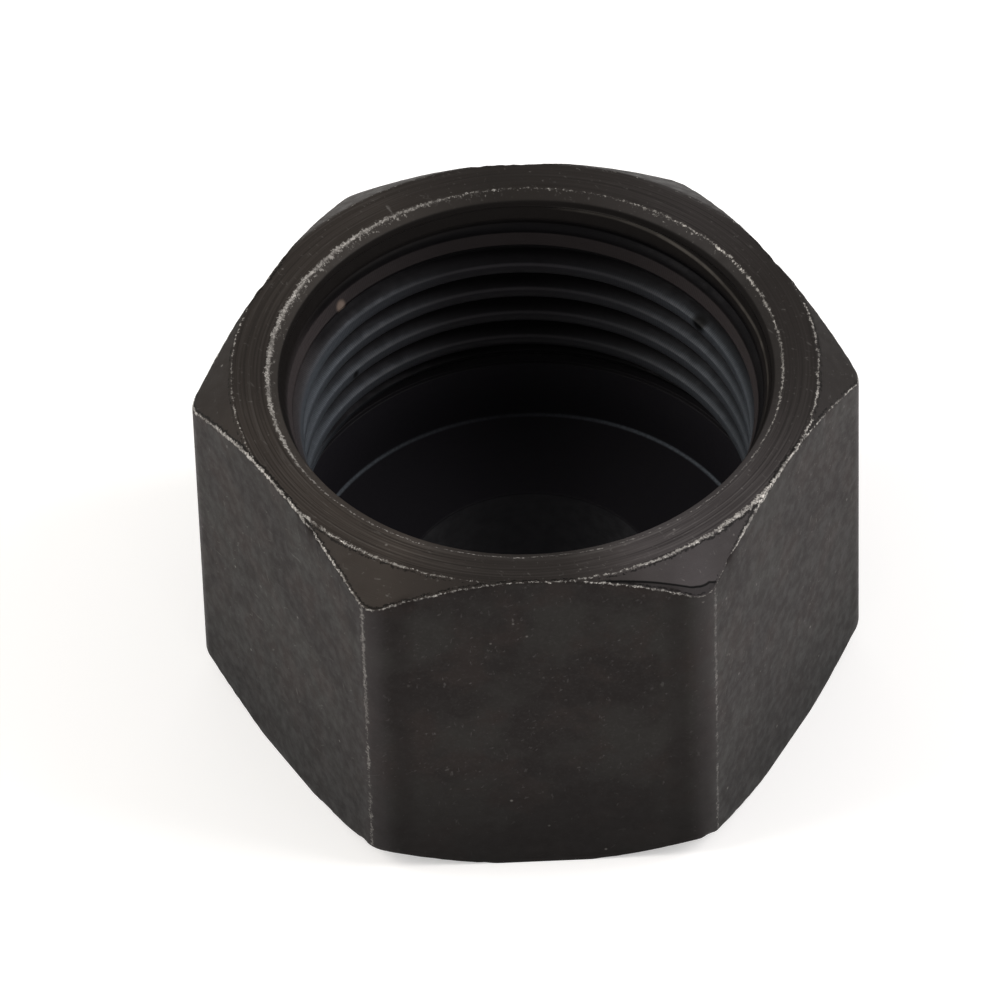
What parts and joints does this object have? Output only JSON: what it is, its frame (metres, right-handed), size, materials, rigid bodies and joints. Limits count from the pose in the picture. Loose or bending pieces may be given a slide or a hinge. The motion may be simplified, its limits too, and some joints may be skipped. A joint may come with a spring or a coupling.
{
  "type": "collet nut",
  "caption": "Hexagonal black steel collet nut with a threaded mouth, an undercut, a sloping inner seat and a round nose hole that closes a collet onto a tool shank.",
  "frame": {"origin": "centre of the flat nose face, on the nut's axis", "axes": "+Z along the bore axis from the nose towards the thread mouth; two of the hexagon's corners lie on the X axis and two of its flats face -Y and +Y"},
  "size_m": [0.0308, 0.027, 0.0189],
  "materials": {
    "black_steel": "black oxide on turned and milled steel, worn to bright metal along the edges"
  },
  "bodies": {
    "root": {"collet_nut": "black_steel"}
  },
  "joints": []
}
